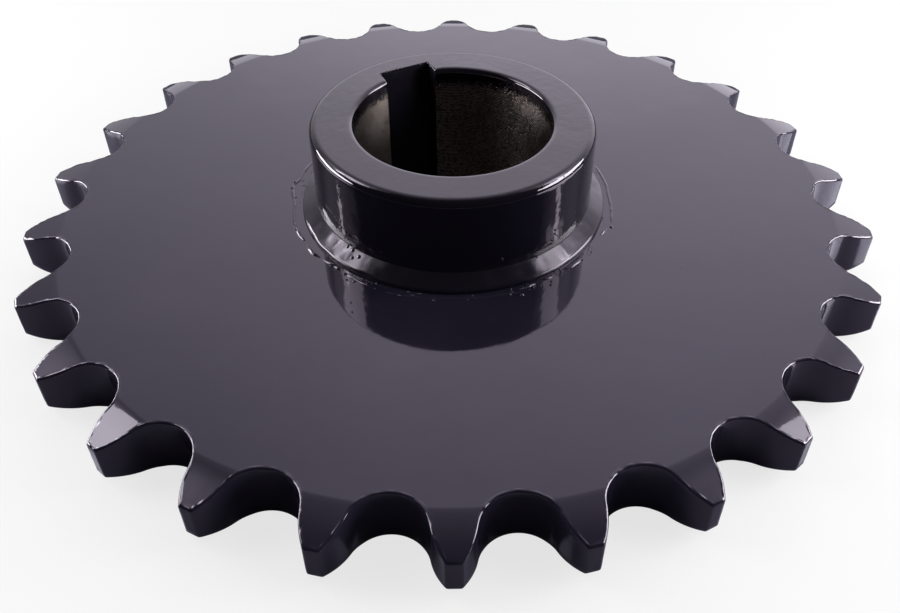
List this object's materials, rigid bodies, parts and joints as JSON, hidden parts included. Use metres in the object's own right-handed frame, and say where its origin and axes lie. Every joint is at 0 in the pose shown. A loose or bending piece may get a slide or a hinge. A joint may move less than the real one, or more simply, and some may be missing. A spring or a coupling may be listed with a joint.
{
  "type": "chain sprocket",
  "caption": "Roller chain sprocket of steel: a toothed plate welded to a hub with a keyed bore, painted black.",
  "frame": {"origin": "bore axis at the plate's back face", "axes": "+Z along the bore axis towards the hub's nose, +Y through the keyway"},
  "size_m": [0.22, 0.2212, 0.0379],
  "materials": {
    "plate_paint": "gloss black paint",
    "hub_paint": "gloss black paint, bare machined steel in the bore",
    "weld_paint": "gloss black paint over weld beads"
  },
  "bodies": {
    "root": {"toothed_plate": "plate_paint", "hub": "hub_paint", "front_weld": "weld_paint", "rear_weld": "weld_paint"}
  },
  "joints": []
}
